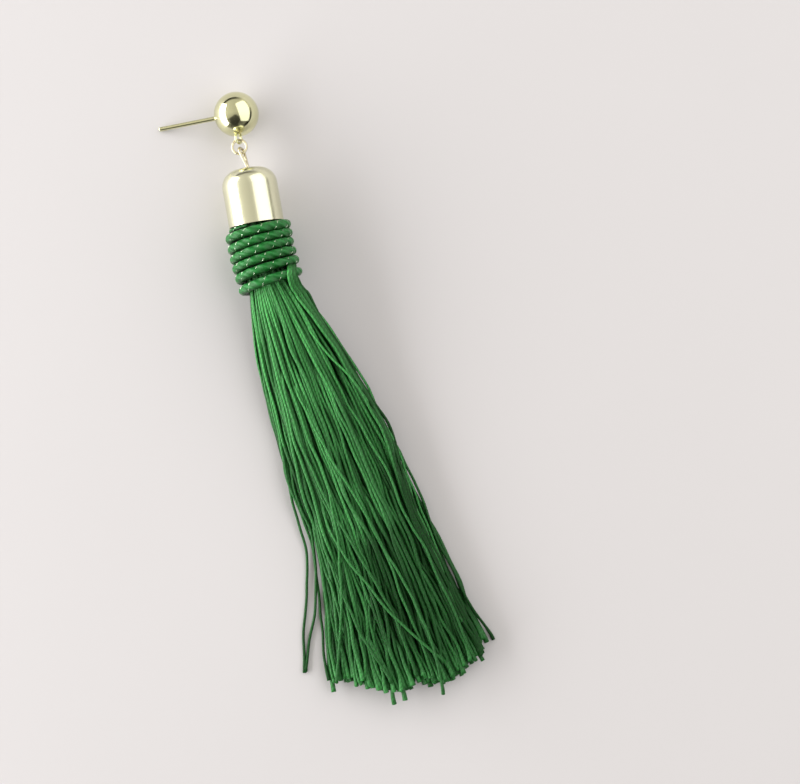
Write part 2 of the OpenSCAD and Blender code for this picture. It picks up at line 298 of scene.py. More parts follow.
def pale_board(name, colour):
    """Smooth satin board: even, with a barely visible mottle; the metal mirrors its low gloss."""
    material, tree = new_material(name)
    place = add(tree, "TexCoord", out="Object")
    # Pressed board is mottled in patches about 30 mm across
    mottle = add(tree, "TexNoise", {"Vector": place, "Scale": 1 / (30 * MM), "Detail": 2.0})
    base = linear(colour)
    tint = add(tree, "Mix", {0: mottle, 6: scaled(base, 0.985), 7: base}, 2, data_type="RGBA")
    return shaded(material, {"Base Color": tint, "Roughness": 0.5, "Specular IOR Level": 0.3})


# Painted shade: how much of its tone a tube loses on its far side, and where its light is
SIDE_SHADE = 1.8
TO_LIGHT = np.array([[-0.24, 0.0, 0.97]])
# Each tube's pattern has its own length and start: the step from one to the next, and the spread
# of the lengths, as a share, and of the starts, in millimetres
OWN_STEP = 0.618
LENGTH_SPREAD = 0.35
START_SPREAD = 10


def tubes(name, paths, radii, sides, tones=None, ways=TO_LIGHT):
    """One mesh of closed tubes, from points and a radius at each. tones holds a value at each point, and
    painted shade makes it fall off on the sides that face away from ways, where neighbours shade the tube.
    """
    corners, uvs, loops, sizes, values = [], [], [], [], []
    start = 0
    angle = 2 * np.pi * (np.arange(sides) / sides)
    for index, (path, radius) in enumerate(zip(paths, radii)):
        rings = len(path)
        across, over, along = directions(path)
        way = np.cos(angle)[:, None] * across[:, None, :] + np.sin(angle)[:, None] * over[:, None, :]
        corners.append((path[:, None, :] + radius[:, None, None] * way).reshape(-1, 3))
        j, i = np.meshgrid(np.arange(rings - 1), np.arange(sides), indexing="ij")
        k = (i + 1) % sides
        quads = start + np.stack([j * sides + i, (j + 1) * sides + i, (j + 1) * sides + k, j * sides + k], -1)
        loops.append(quads.reshape(-1))
        sizes.append(np.full((rings - 1) * sides, 4))
        u = np.stack([i, i, i + 1, i + 1], -1) / sides
        own = index * OWN_STEP % 1
        v = along[np.stack([j, j + 1, j + 1, j], -1)] / MM * (1 + LENGTH_SPREAD * own) + START_SPREAD * own
        uvs.append(np.stack([u, v], -1).reshape(-1, 2))
        for ring, order in ((0, 1), (rings - 1, -1)):
            loops.append(start + ring * sides + np.arange(sides)[::order])
            sizes.append(np.array([sides]))
            uvs.append(np.full((sides, 2), 0.5))
        if tones is not None:
            # Painted shade on the sides that face away from the light
            facing = np.cos(angle) * (across * ways).sum(1)[:, None]
            facing += np.sin(angle) * (over * ways).sum(1)[:, None]
            tone = tones[index][:, None]
            values.append(unit(tone * (1 - SIDE_SHADE * tone * (1 - facing) / 2)).ravel())
        start += rings * sides
    mesh = bpy.data.meshes.new(name)
    corners, uvs, loops, sizes = map(np.concatenate, (corners, uvs, loops, sizes))
    mesh.vertices.add(len(corners))
    mesh.vertices.foreach_set("co", corners.astype(np.float32).ravel())
    mesh.loops.add(len(loops))
    mesh.loops.foreach_set("vertex_index", loops.astype(np.int32))
    mesh.polygons.add(len(sizes))
    mesh.polygons.foreach_set("loop_start", np.r_[0, np.cumsum(sizes)[:-1]].astype(np.int32))
    mesh.polygons.foreach_set("use_smooth", sizes == 4)
    mesh.uv_layers.new(name="along").data.foreach_set("uv", uvs.astype(np.float32).ravel())
    if tones is not None:
        layer = mesh.attributes.new("tone", "FLOAT", "POINT")
        layer.data.foreach_set("value", np.concatenate(values).astype(np.float32))
    mesh.update()
    mesh.validate()
    piece = bpy.data.objects.new(name, mesh)
    bpy.context.scene.collection.objects.link(piece)
    return piece


def one_long(vectors):
    """Vectors brought to a length of 1."""
    return vectors / np.linalg.norm(vectors, axis=1)[:, None]


def directions(path):
    """Two directions square to a path, carried along without turning round it, and the length
    run up to each point."""
    tangent = one_long(np.gradient(path, axis=0))
    side = np.zeros_like(tangent)
    start = np.array([0.0, 0.0, 1.0]) if abs(tangent[0, 2]) < 0.9 else np.array([0.0, 1.0, 0.0])
    for j, way in enumerate(tangent):
        start = start - way * (start @ way)
        start = start / np.linalg.norm(start)
        side[j] = start
    along = np.r_[0, np.cumsum(np.linalg.norm(np.diff(path, axis=0), axis=1))]
    return np.cross(tangent, side), side, along


def finish_piece(piece, material, node):
    """Gives a new piece its finish and its body, and hides the node that it stands for."""
    piece.data.materials.append(material)
    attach(piece, ROOT)
    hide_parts(node)


class EARRING_OT_metal(bpy.types.Operator):
    """Plates the ball stud, the ring, the pin and the cap"""

    bl_idname = "earring.metal"
    bl_label = "Plate the metal"

    def execute(self, context):
        looks = context.scene.earring_metal
        platings = {
            "ball": plated_brass("polished_gold_plating", looks.ball_plating, looks.ball_roughness),
            "cap": plated_brass("buffed_gold_plating", looks.cap_plating, looks.cap_roughness),
            "link": plated_brass("drawn_wire_plating", looks.link_plating, looks.cap_roughness),
        }
        for node, plating in METAL_NODES.items():
            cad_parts[node].material_slots[0].material = platings[plating]
        return {"FINISHED"}


# The bundle in the cord: its radius, its length and how far it bends
NECK_R = 4.25 * MM
WRAP_LEN = 11.55 * MM
NECK_BEND = math.radians(9)
# Gaps between the cord and the bundle and between the cord and the cap's rim
BUNDLE_GAP = 0.1 * MM
RIM_GAP = 0.12 * MM
# The winding strays from even turns just before its end. Rows: turns before the end, extra
# advance as a share of the pitch
STRAY_TURNS = [[0, 0.35, 0.85, 1.35], [0, 0.1, 0.36, 0]]
# The cord's steps in a turn and its sides, how thin its end is, and over how many turns it thins
TURN_STEPS = 160
CORD_SIDES = 16
THIN_END = 1 / 3
TAPER_TURNS = 0.4
# Handwound cord is never quite even: how far a turn strays, and how much its thickness does
UNEVEN_TURNS = 0.1 * MM
UNEVEN_THICKNESS = 0.07
# The metallic thread: its radius and sides, how far it stands out of the cord, how much it draws it
# in, and the steps of the cord that it leaves out at each end
GLINT_R = 0.1 * MM
GLINT_SIDES = 6
GLINT_PROUD = 0.07 * MM
DRAWN_IN = 0.04
HIDDEN_STEPS = 8
# The cord's painted shade leans this way, towards the cap, so each turn is painted lighter on its side
# towards the cap than on the other
CORD_SHADE_LEAN = np.array([[-0.1, 0.55, 0.0]])


def bundle_point(along, sideways, z):
    """A point beside the bundle's centre line, which bends as it leaves the cap."""
    slope = math.tan(NECK_BEND) / WRAP_LEN
    centre = AXIS_X + slope * np.clip(along, 0, None) ** 2 / 2
    turn = np.arctan(slope * np.clip(along, 0, None))
    return np.stack([centre + sideways * np.cos(turn), RIM_Y - along + sideways * np.sin(turn), z], -1)


class EARRING_OT_wound_cord(bpy.types.Operator):
    """Winds the satin cord round the threads, with its metallic thread"""

    bl_idname = "earring.wound_cord"
    bl_label = "Wind the cord"

    def execute(self, context):
        sizes = context.scene.earring_cord
        radius = sizes.diameter / 2
        pitch = sizes.diameter + sizes.turn_gap
        steps = int((sizes.last_turn - sizes.first_turn) * TURN_STEPS)
        t = np.linspace(sizes.first_turn, sizes.last_turn, steps)
        left = sizes.last_turn - t
        r = np.minimum(radius, (pitch * t - sizes.turn_gap) / 2)
        r = np.minimum(r, radius * (THIN_END + left / TAPER_TURNS))
        turns = t - 1 + np.interp(left, *STRAY_TURNS)
        along = np.where(t < 1, RIM_GAP + r, RIM_GAP + radius + pitch * turns)
        out = NECK_R + BUNDLE_GAP + r
        around = 2 * np.pi * t
        along += UNEVEN_TURNS * np.sin(0.83 * around + 1.1) * unit(t - 1)
        path = bundle_point(along, out * np.cos(around), AXIS_Z + out * np.sin(around))
        full = r * (1 + UNEVEN_THICKNESS * np.sin(around * 1.7) * np.sin(around * 0.61))
        # The metallic thread draws the cord in where it crosses
        run = directions(path)[2]
        turn = 2 * np.pi * run / sizes.glint_pitch
        full = full * (1 - DRAWN_IN * np.cos(turn))
        outward = -one_long(bundle_point(along, 0 * along, AXIS_Z + 0 * along) - path)
        # The undermost part of each turn rests on the floor
        path[:, 2] = np.maximum(path[:, 2], full)
        # Painted shade in the valleys between the turns, on the sides that face away from outward
        ways = one_long(outward + CORD_SHADE_LEAN)
        cord = tubes("cord_wrap_satin", [path], [full], CORD_SIDES, [np.ones(steps)], ways)
        satin = satin_cord("satin_rayon_cord", sizes.colour, sizes.shade_colour)
        finish_piece(cord, satin, "cord_wrap")

        beside = np.cross(outward, one_long(np.gradient(path, axis=0)))
        # It comes to the surface twice on the cord's outside
        proud = GLINT_PROUD * (0.15 - np.cos(4 * turn))
        level = (full + proud - GLINT_R)[:, None]
        line = path + level * (np.cos(turn)[:, None] * outward + np.sin(turn)[:, None] * beside)
        line[:, 2] = np.maximum(line[:, 2], GLINT_R)
        line = line[HIDDEN_STEPS:-HIDDEN_STEPS]
        glints = tubes("cord_metallic_thread", [line], [np.full(len(line), GLINT_R)], GLINT_SIDES)
        film = metallic_thread("metallised_film_thread", sizes.glint_colour)
        finish_piece(glints, film, "cord_wrap")
        return {"FINISHED"}


# Sections of the tassel's solid that the threads are fitted to: their distance, the columns across
# each, the share of its width that they take up, and the step of the rays
STATION_STEP = 1.5 * MM
COLUMNS = np.linspace(-1, 1, 25)
COLUMNS_WIDTH = 0.96
SCAN_STEP = 0.25 * MM
# Rings of points along a thread: their distance in the fan, over the cord, and the least one before
# its end, and the points round each
RING_STEP = 0.65 * MM
CORD_RING_STEP = 0.2 * MM
LAST_STEP = 0.3 * MM
THREAD_SIDES = 8
# Threads above the cap's rim, and below the cord
HEAD_LEN = 7 * MM
FAN_END = 76 * MM
# Past this the solid's corners are cut short, so the threads go straight on
STRAIGHT_FROM = -40 * MM
STRAIGHT_FIT = 9 * MM
# How far the outermost threads stand out of the solid's edges
EDGE_OUT = 0.7 * MM
# Where the fan's left edge draws in beside the threads that left it: along and by how much, in mm
LEFT_NOTCH = [[-43, -38.6, -34, -30, -25, -21.5, -18], [0, 1, 1.6, 1.9, 2, 1.2, 0]]
# How much thicker a thread gets down to its end, how far the cut end opens, and over what length
LOOSENED = 0.14
OPEN_END = 0.4
OPEN_LEN = 3 * MM

# The line on which the threads end, in millimetres. Rows: place across, place along. A thread's
# place across is read at CUT_LINE
CUT_LINE = -52 * MM
END_LINE = [
    [-9.5, -8, -5.5, -2.9, 0, 2.5, 5, 8, 10, 12, 14.4, 16, 18, 20, 21.6, 23],
    [
        -50.5, -51.2, -50.6, -51, -52.3, -53.8, -54, -53.2, -53.5, -53.7, -53.4, -52.6, -51.2, -49.8,
        -48.6, -47.5,
    ],
]
# Threads that reach past the others: place across and extra length, in millimetres
LONG_ENDS = [[-7.6, 1.6], [0.9, 1], [3.4, 2.6], [4.6, 2.1], [15.9, 0.8], [18.2, 1], [20.2, 2]]
# Threads that left the bundle or lie across it, from the neck down: how much lighter each one is
# than the threads round it, and its places across and along, in millimetres
LOOSE_THREADS = [
    (-0.2, [-9.2, -9.8, -8.8, -7.7, -7.1, -7.4, -9.1, -10.2, -11, -11.9],
     [-12, -14.9, -18.8, -22.7, -26.9, -29.6, -33.9, -38.3, -42.7, -48.6]),
    (-0.14, [-8.4, -7.7, -6.4, -5.9, -5.8, -6.3, -7.5, -8.9, -11, -11.7],
     [-13, -16.4, -19.6, -23.8, -27.2, -30.8, -35.1, -39.5, -45.5, -48.4]),
    (-0.16, [-8.8, -8.6, -7.7, -6.7, -6.3, -6.5, -7, -7.6, -7.9, -7.7],
     [-12, -16.9, -20.9, -24.5, -28, -32.5, -37, -42, -46, -50.5]),
    (-0.25, [13, 14.1, 15.1, 16.2, 17.6, 19, 20.9, 22.3, 22.7],
     [-14.5, -20.5, -25.8, -30.5, -35.5, -40.4, -44.2, -47.5, -48.6]),
    (0.06, [3.4, 7.1, 10.2, 11.8, 12.2, 12.1, 12.1], [-22, -31.9, -38.5, -45.1, -48.2, -53.1, -56]),
    (0.12, [-3.4, -0.3, 2.9, 5.6, 7.6, 10.1, 13.2], [-22, -29.9, -35.8, -40, -42.9, -46.1, -50.5]),
    (0.08, [-1.6, -1.4, -2, -3, -4.3, -5.9, -6.4], [-18, -26.1, -34.9, -39, -42.3, -48.5, -51]),
    (0.02, [-4.6, -2.8, -2.1, -1.1, 0.2, 1.7, 3.4], [-24, -34, -38.2, -41.3, -45.3, -48.1, -52.5]),
    (0.2, [-0.5, 2.9, 5.5, 7.4, 8.9, 11.3, 13.2, 16, 18.6],
     [12.1, 6, 2.9, -0.6, -3.6, -10.9, -19, -33, -46]),
    (0.1, [2.6, 5.4, 8.8, 11.2, 12.6, 13.8, 15.4, 17.6], [14, 7.5, -1.3, -11.1, -19.1, -25.4, -34, -44]),
    (-0.05, [-6.4, -5.2, -1.6, 3.8, 6.5, 8], [5, -8, -22, -34, -42, -52]),
    (0.08, [-4.5, 0.6, 4.2, 6, 8.8, 10.9], [2, -13, -22, -31, -40, -53]),
    (0, [4, 9.6, 11.6, 15.2, 17.8, 18.9], [-2, -17, -26, -38, -46, -51.3]),
]
# Thickness of these threads against the others
LOOSE_SHARE = 0.8
# Lengths over which their kinks set in, and die out towards the end
START_STILL = 30 * MM
END_STILL = 10 * MM
# The lock that laps over the last turn of the cord: its middle line across and along, and at places
# from the cap's rim its distance from the bundle's axis, in millimetres, and its threads' spread
LAPPED_COUNT = 6
LAPPED_LINE = [
    [-1, -1, -1.2, -0.9, 0, 1.6, 2.6, 4.5, 6.1, 8.2, 10, 10.6, 11, 11.6, 12.3, 13.8, 15.6, 17.7, 19.1, 20],
    [24.4, 23, 21.7, 19.9, 17.9, 14.2, 11.8, 7.7, 2.9, -2.7, -7, -10.5, -14, -19, -23.6, -29, -35.5, -42,
     -46, -48.8],
]
LAPPED_HEIGHT = [
    [7.6, 8.1, 8.45, 8.85, 9.3, 9.9, 10.5, 11.2, 12.2, 13.2, 14],
    [4.5, 4.6, 5.1, 5.8, 6.25, 6.3, 6.1, 5.7, 5.2, 4.9, 4.7],
]
LAPPED_SPREAD = [[8, 9.4, 10.5, 12.1, 14.1, 17.8, 24, 60], [0.7, 0.8, 0.96, 1.17, 1.5, 0.85, 0.8, 1]]
# How much its ends differ, its length in fine rings over the cord, where it comes out from between
# the turns, and how much higher its middle threads lie
LAPPED_ENDS = 2 * MM
LAPPED_FINE = 6 * MM
LAPPED_OUT = 8.5 * MM
LAPPED_HUMP = 0.12 * MM
# Painted shade: tone that every other thread of that lock loses, and each one more than the one before it
LAPPED_SHADE = 0.3
LAPPED_STEP = 0.09
# Painted shade: what it loses all down its length, and what it loses more where it slips under the others,
# from what share of its length on and within what share
LAPPED_UNDER = (0.1, 0.25, 0.5, 0.08)
# Hollows between the locks, where the light doesn't reach, and ridges that catch it: how much
# darker each one is, its half width and its line across and along, in millimetres
HOLLOWS = [
    (0.32, 0.7, [-0.7, 0.4, 1.8, 3.1, 3.9], [15.5, 13.8, 11.2, 8.7, 5.9]),
    (0.15, 0.7, [5.2, 6.8, 8.7], [0.7, -2, -5.4]),
    (0.2, 1.7, [-7.2, -6.3, -4.8, -3.9], [15.9, 5, -6.2, -17.2]),
    (0.18, 1.5, [2.2, 3.9], [-2.6, -7.8]),
    (0.42, 3.8, [6, 6, 6.4, 6.4], [-26, -29.5, -35, -42]),
    (0.38, 2.4, [10.5, 11, 12.4, 14.2, 16, 17.6], [-15, -20, -25.8, -31.5, -37.3, -42]),
    (0.12, 1.5, [-6.2, -6.6, -7.2], [-24, -33.2, -38.5]),
    (-0.12, 2, [0.6, 0.9, 0.8, 1], [-20, -28, -38, -47]),
    (-0.14, 1.4, [-9.2, -9, -8.4], [11, 5.4, 0]),
]
# How far a hollow reaches past its line's upper and lower end, and how long it fades there
HOLLOW_UPPER = (3 * MM, 5 * MM)
HOLLOW_LOWER = (5 * MM, 6 * MM)

# How full the neck is, how far the locks even out, and their radius against a thread's diameter
NECK_FILL = 0.97
EVENED_OUT = 0.75
LOCK_SHARE = 0.9
# One lock in so many crosses over its neighbours: from where, along what share of the fan, how far
CROSSING_ONE_IN = 6
CROSSING_START = (0.1, 0.5)
CROSSING_LEN = 0.5
CROSSING_BY = (0.1, 0.3)
# Spread of the turns that a lock's threads make round each other
LOCK_TURNS = 1.2
# How far threads lie below the form's top, in mm: in stretches, and one of each lock
SINK_STRETCH = 0.7
SINK_ONE = 0.45
# The locks even out, and roam across and up, from the cord on. At a rate of 3.5 this is full after
# 1 / 3.5 of the way. They roam across by one share at first and by the other more at their ends
EVEN_RATE = 3.5
ROAM_RATES = (6, 3)
ROAM_ACROSS = (0.03, 0.09)
ROAM_UP = 0.3
# Threads of a lock: after what share of the way they come apart, how far they lie from its middle
# at first and how much further at their ends, and how far they roam across and up, in millimetres,
# and in how many waves
APART_FROM = 0.15
LOCK_OPENS = (0.21, 0.33)
ROAM_ALONE = ((2, 5), (0.5, 4))
# Rounds of smoothing that make kinks about 9 mm and 18 mm long
SHORT_KINKS = 2
LONG_KINKS = 7
# Kinks of the loose threads and of the lapped lock's, short and long: how far, in millimetres, and
# the rounds
LOOSE_KINKS = ((0.14, 12), (0.25, 60))
LAPPED_KINKS = ((0.12, 12), (0.15, 90))
# Rounds in which a thread is lifted off the dips that it spans
SPAN_ROUNDS = 300
# Share of an overlap that one round of settling takes away
PUSH_SHARE = 0.3
# Thinnest and thickest thread against the usual one
THICKNESS = (0.85, 1.2)

# What covers a thread and paints shade on it, in millimetres: how much higher others lie at least and at
# most, how far aside, and within what reach
COVER_FROM = 0.15
COVER_MOST = 1.2
COVER_ASIDE = 0.3
COVER_REACH = 0.8
# Painted light: tone of a thread just below the cord, and the power by which it falls down to its end
TOP_TONE = 1.22
TONE_POWER = 0.6
# Painted shade, as tone that a thread loses: covered on both sides, on one, as its lock's low one, on the far
# side from the light
DARK_BOTH = 1.9
DARK_ONE = 0.5
DARK_LOW = 0.45
DARK_FAR = 0.2
# Spread of the tone from lock to lock and from thread to thread, and the most inside the cord, where it is
# painted shade
LOCK_TONES = 0.12
OWN_TONES = 0.07
INSIDE_TONE = 0.1
# Painted light that the loose cut ends gain, and over what length
END_LIGHT = 0.32
END_LIGHT_LEN = 5.5 * MM


def fan_form(stations):
    """Left and right edge of the tassel's solid at each station, and its underside and top in
    columns from edge to edge, found by rays from above and below."""
    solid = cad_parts["tassel"].data
    tree = BVHTree.FromPolygons([v.co for v in solid.vertices], [p.vertices for p in solid.polygons])
    low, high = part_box("tassel")
    edges = np.zeros((len(stations), 2))
    # The underside and the top
    levels = np.zeros((2, len(stations), len(COLUMNS)))
    scan = np.arange(low.x, high.x, SCAN_STEP)

    def hit(x, y, way):
        """Where a ray meets the solid, upwards for 1 and downwards for -1."""
        return tree.ray_cast(Vector((x, y, -way)), Vector((0, 0, way)))[0]

    solid_part = stations > STRAIGHT_FROM
    for k in np.flatnonzero(solid_part):
        y = stations[k]
        hits = [x for x in scan if hit(x, y, -1)]
        edges[k] = hits[0], hits[-1]
        for c, share in enumerate(COLUMNS * COLUMNS_WIDTH):
            x = edges[k].mean() + share * (edges[k][1] - edges[k][0]) / 2
            for level, way in zip(levels, (1, -1)):
                met = hit(x, y, way)
                level[k, c] = met.z if met else level[k - 1, c]
    last = np.flatnonzero(solid_part)[-1]
    fitted = solid_part & (stations < STRAIGHT_FROM + STRAIGHT_FIT)
    for side in (0, 1):
        line = np.polyfit(stations[fitted], edges[fitted, side], 1)
        edges[last + 1:, side] = edges[last, side] + line[0] * (stations[last + 1:] - stations[last])
    levels[:, last + 1:] = levels[:, last, None]
    return smooth(edges, 2), *[smooth(level, 2) for level in levels]


def smooth(values, rounds):
    """Evens out values along their first axis."""
    for _ in range(rounds):
        values[1:-1] = (values[:-2] + 2 * values[1:-1] + values[2:]) / 4
    return values


def spanning(carried):
    """Height of a thread that is stiff enough to span the dips in what carries it."""
    height = carried
    for _ in range(SPAN_ROUNDS):
        height = np.maximum(carried, smooth(height.copy(), 1))
    return smooth(height, 4)


def in_columns(table, across):
    """Values of a table of columns at shares across, for each thread and station."""
    place = (np.clip(across, -1, 1) + 1) / 2 * (len(COLUMNS) - 1)
    low = np.minimum(place.astype(int), len(COLUMNS) - 2)
    part = place - low
    k = np.arange(table.shape[0])[None, :]
    return table[k, low] * (1 - part) + table[k, low + 1] * part


def wander(rng, shape, waves):
    """Smooth random curves along the threads, from about -1 to 1."""
    t = np.linspace(0, 1, shape[1])[None, :]
    curve = np.zeros(shape)
    for wave in range(1, waves + 1):
        phase = rng.uniform(0, 2 * np.pi, (shape[0], 1))
        curve += rng.normal(size=(shape[0], 1)) * np.sin(np.pi * wave * t + phase) / wave
    return curve / 2


def crimp(rng, shape, rounds):
    """Small kinks along the threads, about 1 on average."""
    kinks = smooth(rng.normal(size=shape[::-1]), rounds)
    return (kinks / kinks.std()).T


def stray(rng, count, short, long):
    """How far one thread strays along its way, in short and long kinks. Each is given by its size
    in millimetres and the rounds of smoothing."""
    kinks = short[0] * crimp(rng, (1, count), short[1]) + long[0] * crimp(rng, (1, count), long[1])
    return kinks[0] * MM


def fading(free):
    """How light a thread is painted at a share of the way from the cord to its end: painted light near the
    cord that falls off to painted shade at the end.
    """
    return TOP_TONE - free ** TONE_POWER


class Fan:
    """The form that the threads fill: edges, underside and top at each station."""

    def __init__(self, stations):
        self.stations = stations
        self.edges, self.under, self.top = fan_form(stations)
        self.edges[:, 0] += np.interp(stations / MM, *LEFT_NOTCH) * MM
        self.middle = self.edges.mean(1)[None, :]
        self.half = (self.edges[:, 1] - self.edges[:, 0])[None, :] / 2
        self.k_free = int((HEAD_LEN + WRAP_LEN) / STATION_STEP)
        run = (np.arange(len(stations)) - self.k_free) / (len(stations) - self.k_free)
        # 0 up to the end of the cord, then rising to 1 at the threads' ends
        self.free = unit(run)[None, :]
        # The same, but 1 from a little below the cord on
        self.clear = unit(8 * self.free)
        self.half = self.half + EDGE_OUT * self.clear

    def room(self, across, radius, sink=0.0):
        """How low and how high a thread can lie."""
        low = in_columns(self.under, across) + radius
        return low, np.maximum(in_columns(self.top, across) - radius - sink, low)

    def settle(self, x, z, radius, rounds, stiff, tight=0.0, sink=0.0):
        """Pushes discs apart at each station, within the form, and keeps them smooth along the
        threads. Inside the cord and the cap they stay where they are. Below the cord, discs may
        overlap by the share tight, and each thread stays sink below the form's top."""
        x, z = x.astype(np.float32), z.astype(np.float32)
        held = np.s_[:, :self.k_free]
        held_x, held_z = x[held].copy(), z[held].copy()
        half = self.half - radius
        close = (2 * radius * (1 - tight * unit(1 - 1.6 * self.free))).astype(np.float32)
        for _ in range(rounds):
            dx = x[:, None, :] - x[None, :, :]
            dz = z[:, None, :] - z[None, :, :]
            apart = np.sqrt(dx * dx + dz * dz) + 1e-9
            push = np.clip(close - apart, 0, None) / apart * PUSH_SHARE
            x += (dx * push).sum(1)
            z += (dz * push).sum(1)
            x[:, 1:-1] += stiff * (x[:, :-2] + x[:, 2:] - 2 * x[:, 1:-1])
            z[:, 1:-1] += stiff * (z[:, :-2] + z[:, 2:] - 2 * z[:, 1:-1])
            across = np.clip((x - self.middle) / half, -1, 1)
            x = self.middle + across * half
            z = np.clip(z, *self.room(across, radius, sink))
            x[held], z[held] = held_x, held_z
        return x.astype(float), z.astype(float)


def build_threads(paths, radii, tones, sizes):
    """Three pieces of threads, shared out by their height two thirds of the way along."""
    material = silky_thread(
        "two_ply_rayon_thread", sizes.lit_colour, sizes.shade_colour, sizes.twist_pitch
    )
    by_height = np.argsort([path[len(path) * 2 // 3, 2] for path in paths])
    for name, part in zip(("low", "middle", "top"), np.array_split(by_height, 3)):
        own = [[values[i] for i in part] for values in (paths, radii, tones)]
        piece = tubes(f"threads_{name}", own[0], own[1], THREAD_SIDES, own[2])
        finish_piece(piece, material, "tassel")


def settled_threads(fan, rng, sizes):
    """Places of the threads across and up at each station, once they have settled."""
    lock_x, lock_z = lay_locks(fan, rng, sizes)
    x, z = part_threads(fan, rng, sizes, lock_x, lock_z)
    # Some locks lie deeper than others for a stretch, and each has one thread that does
    deeper = np.repeat(wander(rng, lock_x.shape, 6), sizes.threads_in_lock, 0)
    deeper = SINK_STRETCH * unit(deeper + 0.3) + SINK_ONE * low_ones(sizes)
    radius = sizes.diameter / 2
    rounds = 40
    x, z = fan.settle(x, z, radius, rounds, stiff=0.12, tight=0.4, sink=deeper * MM * fan.clear)
    # The kinks are in millimetres and grow towards the ends
    x += fan.clear * (0.05 + 0.08 * fan.free) * MM * crimp(rng, x.shape, SHORT_KINKS)
    x += 0.4 * fan.free * MM * crimp(rng, x.shape, LONG_KINKS)
    z = z + 0.06 * MM * fan.free * crimp(rng, x.shape, SHORT_KINKS)
    return x, np.maximum(z, radius)


def lay_locks(fan, rng, sizes):
    """Centre lines of the locks: evenly packed in the round neck, then flattening into the fan."""
    count = sizes.locks
    order = np.arange(count)
    out = np.sqrt((order + 0.5) / count) * NECK_FILL
    turn = order * np.pi * (3 - math.sqrt(5))
    across = out * np.cos(turn)
    chord = np.sqrt(1 - across ** 2)
    height = (out * np.sin(turn) / chord + 1) / 2
    even = 2 * (across * chord + np.arcsin(across)) / np.pi
    spread = EVENED_OUT * unit(fan.free * EVEN_RATE)
    across = across[:, None] * (1 - spread) + even[:, None] * spread
    roam = (ROAM_ACROSS[0] + ROAM_ACROSS[1] * fan.free) * unit(fan.free * ROAM_RATES[0])
    across += roam * wander(rng, across.shape, 3)
    height = height[:, None] + ROAM_UP * unit(fan.free * ROAM_RATES[1]) * wander(rng, across.shape, 3)
    crossing = rng.choice(count, count // CROSSING_ONE_IN, replace=False)
    each = (len(crossing), 1)
    ease = unit((fan.free - rng.uniform(*CROSSING_START, each)) / CROSSING_LEN)
    ease = ease * ease * (3 - 2 * ease)
    across[crossing] += rng.choice([-1, 1, 1], each) * rng.uniform(*CROSSING_BY, each) * ease
    height[crossing] += (1 - height[crossing]) * ease
    radius = LOCK_SHARE * sizes.diameter
    across = np.clip(across, -1, 1)
    low, high = fan.room(across, radius)
    x = fan.middle + across * (fan.half - radius)
    z = low + unit(height) * (high - low)
    return fan.settle(x, z, radius, rounds=80, stiff=0.25)


def low_ones(sizes):
    """1 for the last thread of each lock, 0 for the others, as a column."""
    place = np.tile(np.arange(sizes.threads_in_lock), sizes.locks)
    return (place == sizes.threads_in_lock - 1)[:, None] * 1.0


def part_threads(fan, rng, sizes, lock_x, lock_z):
    """Threads of each lock, which turn round each other and come apart towards the ends."""
    number = sizes.threads_in_lock
    locks = len(lock_x)
    lock = np.repeat(np.arange(locks), number)
    shape = len(lock), lock_x.shape[1]
    first = np.repeat(rng.uniform(0, 2 * np.pi, locks), number) + np.arange(len(lock)) * 2 * np.pi / number
    turns = np.repeat(rng.normal(0, LOCK_TURNS, locks), number)[:, None] * fan.free
    angle = first[:, None] + 2 * np.pi * turns
    loose = unit((fan.free - APART_FROM) / (1 - APART_FROM))
    out = (LOCK_OPENS[0] + LOCK_OPENS[1] * loose) * MM
    (far_x, waves_x), (far_z, waves_z) = ROAM_ALONE
    x = lock_x[lock] + out * np.cos(angle) + far_x * MM * loose * wander(rng, shape, waves_x)
    z = lock_z[lock] + out * np.sin(angle) + far_z * MM * loose * wander(rng, shape, waves_z)
    # The kinks are in millimetres
    moving = unit(fan.free * 10)
    x += moving * (0.06 + 0.12 * fan.free) * MM * crimp(rng, shape, SHORT_KINKS)
    z += moving * 0.05 * MM * crimp(rng, shape, SHORT_KINKS)
    return x, z


